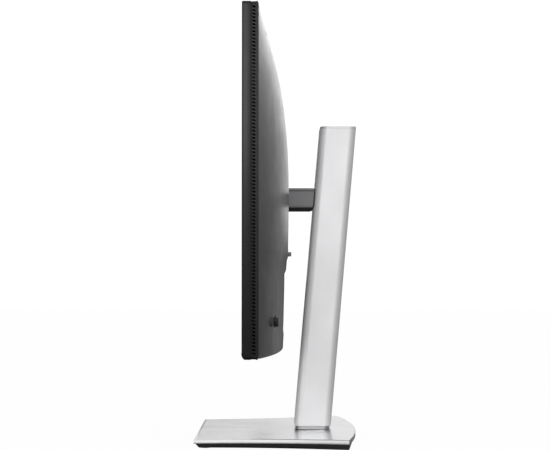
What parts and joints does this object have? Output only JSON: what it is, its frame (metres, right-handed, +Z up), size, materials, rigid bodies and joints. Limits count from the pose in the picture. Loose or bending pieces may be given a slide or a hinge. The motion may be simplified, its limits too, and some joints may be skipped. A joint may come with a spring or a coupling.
{
  "type": "computer monitor",
  "caption": "Flat-screen desktop monitor on a leaning column with height, tilt, swivel and pivot joints, wedge base, rear connector recess and rear controls.",
  "frame": {"origin": "centre of the footprint on the desk, at the bottom of the rubber feet", "axes": "+Z up, screen faces -Y, +X along the width"},
  "size_m": [0.61, 0.1879, 0.465],
  "materials": {
    "dark_shell": "fine moulded grain",
    "black_plastic": "fine moulded grain",
    "screen_glass": "anti-glare",
    "clear_acrylic": "clear moulded",
    "white_film": "matt white film",
    "led_strip": "white board with yellow emitters",
    "zinc_steel": "zinc-plated sheet",
    "screw_steel": "black-zinc screw",
    "green_board": "solder mask",
    "brown_board": "phenolic board",
    "board_parts": "mixed components",
    "chip_black": "epoxy package",
    "flex_amber": "polyimide film",
    "cable_black": "PVC sheath",
    "ribbon_grey": "flat ribbon",
    "port_metal": "nickel-plated shell",
    "port_blue": "moulded insert",
    "led_lens": "clear lens",
    "brass": "plain",
    "bearing_polymer": "acetal",
    "cast_grey": "powder coat",
    "shaft_steel": "ground",
    "satin_silver": "bead-blasted, clear anodised",
    "ballast_steel": "black dip",
    "foot_rubber": "moulded pad"
  },
  "bodies": {
    "base": {"base_plate": "satin_silver", "base_ballast": "ballast_steel", "under_cover": "black_plastic", "rubber_feet": "foot_rubber", "base_screws": "screw_steel", "swivel_washer": "bearing_polymer"},
    "column": {"column": "satin_silver", "column_cap": "satin_silver", "column_foot": "cast_grey", "guide_rods": "shaft_steel", "spring_band": "shaft_steel"},
    "thumbscrew": {"thumbscrew": "screw_steel"},
    "carriage": {"carriage": "cast_grey", "slide_bushes": "bearing_polymer", "neck_cover": "dark_shell", "tilt_shaft": "shaft_steel", "tilt_spring": "shaft_steel", "friction_washers": "brass"},
    "spring_drum": {"spring_drum": "cast_grey"},
    "tilt_bracket": {"tilt_bracket": "cast_grey"},
    "head": {"front_bezel": "dark_shell", "lcd_panel": "screen_glass", "optical_films": "white_film", "light_guide": "clear_acrylic", "led_bar": "led_strip", "reflector_sheet": "white_film", "panel_pan": "zinc_steel", "source_board": "green_board", "driver_flexes": "flex_amber", "vent_frame": "dark_shell", "rear_cover": "dark_shell", "cover_screws": "screw_steel", "chassis_plate": "zinc_steel", "vesa_bracket": "zinc_steel", "power_board": "brown_board", "power_components": "board_parts", "main_board": "green_board", "board_chips": "chip_black", "board_standoffs": "brass", "board_screws": "screw_steel", "power_cable": "cable_black", "panel_cable": "ribbon_grey", "io_plate": "zinc_steel", "ac_inlet": "black_plastic", "hdmi_port": "port_metal", "displayport": "port_metal", "vga_port": "port_blue", "usb_upstream": "port_metal", "usb_downstream": "port_metal", "control_board": "green_board", "power_led": "led_lens", "joystick_base": "black_plastic", "latch_body": "black_plastic", "mount_plate": "cast_grey", "pivot_hub": "shaft_steel"},
    "power_button": {"power_button": "black_plastic"},
    "release_button": {"release_button": "black_plastic"},
    "joystick_gimbal": {"joystick_gimbal": "black_plastic"},
    "joystick_pivot": {"joystick_pivot": "black_plastic"},
    "joystick_cap": {"joystick_cap": "black_plastic"}
  },
  "joints": [
    {"name": "swivel", "type": "hinge", "parent": "base", "child": "column", "pos_m": [0, 0.04175, 0.01], "axis": [0, 0, 1], "range_deg": [-45, 45]},
    {"name": "thumbscrew_turn", "type": "hinge", "parent": "column", "child": "thumbscrew", "pos_m": [0, 0.04175, 0.003], "axis": [0, 0, 1], "continuous": true},
    {"name": "height", "type": "slide", "parent": "column", "child": "carriage", "axis": [0, 0.0872, 0.9962], "range_m": [-0.079, 0.071]},
    {"name": "drum_turn", "type": "hinge", "parent": "carriage", "child": "spring_drum", "pos_m": [0, 0.06067, 0.24827], "axis": [1, 0, 0], "range_deg": [-300, 330]},
    {"name": "tilt", "type": "hinge", "parent": "carriage", "child": "tilt_bracket", "pos_m": [0, 0.0213, 0.286], "axis": [-1, 0, 0], "range_deg": [-5, 21]},
    {"name": "pivot", "type": "hinge", "parent": "tilt_bracket", "child": "head", "pos_m": [0, 0.005, 0.286], "axis": [0, 1, 0], "range_deg": [0, 23]},
    {"name": "power_press", "type": "slide", "parent": "head", "child": "power_button", "axis": [0, -1, 0], "range_m": [0, 0.001], "stiffness_N_per_m": 900, "springref_m": -0.0004},
    {"name": "release_press", "type": "slide", "parent": "head", "child": "release_button", "axis": [0, -1, 0], "range_m": [0, 0.003], "stiffness_N_per_m": 1200, "springref_m": -0.001},
    {"name": "joystick_sideways", "type": "hinge", "parent": "head", "child": "joystick_gimbal", "pos_m": [0.212, -0.0106, 0.143], "axis": [0, 0, 1], "range_deg": [-7, 7], "stiffness_Nm_per_rad": 0.08},
    {"name": "joystick_updown", "type": "hinge", "parent": "joystick_gimbal", "child": "joystick_pivot", "pos_m": [0.212, -0.0106, 0.143], "axis": [1, 0, 0], "range_deg": [-7, 7], "stiffness_Nm_per_rad": 0.08},
    {"name": "joystick_press", "type": "slide", "parent": "joystick_pivot", "child": "joystick_cap", "axis": [0, -1, 0], "range_m": [0, 0.0008], "stiffness_N_per_m": 900, "springref_m": -0.0004}
  ],
  "couplings": [
    {"joint": "drum_turn", "follows": "height", "rad_per_m": -69.444}
  ]
}
